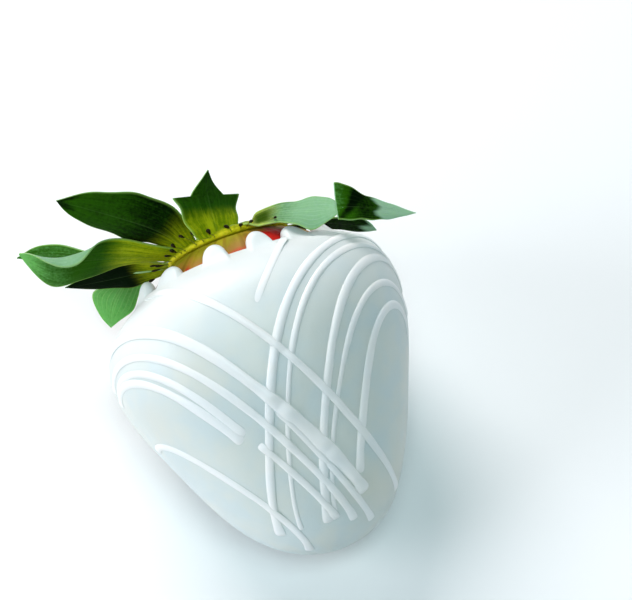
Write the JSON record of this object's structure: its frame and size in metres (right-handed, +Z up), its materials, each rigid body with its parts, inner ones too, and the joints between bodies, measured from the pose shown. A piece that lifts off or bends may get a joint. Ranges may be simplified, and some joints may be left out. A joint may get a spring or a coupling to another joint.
{
  "type": "chocolate drizzled strawberry",
  "caption": "Strawberry dipped in white chocolate and drizzled with more of it, with its green calyx, lying on its flank.",
  "frame": {"origin": "centre of the small flat under the shell that the berry rests on", "axes": "+Z up, +Y along the table from the tip towards the leaves, +X across the berry"},
  "size_m": [0.0516, 0.0531, 0.0382],
  "materials": {
    "white_chocolate": "satin, milky, slightly translucent",
    "flesh": "moist, from red to yellow-green at the neck",
    "leaf": "waxy on the side towards the fruit, pale and downy on the other"
  },
  "bodies": {
    "root": {"coat": "white_chocolate", "berry": "flesh", "calyx": "leaf"}
  },
  "joints": []
}
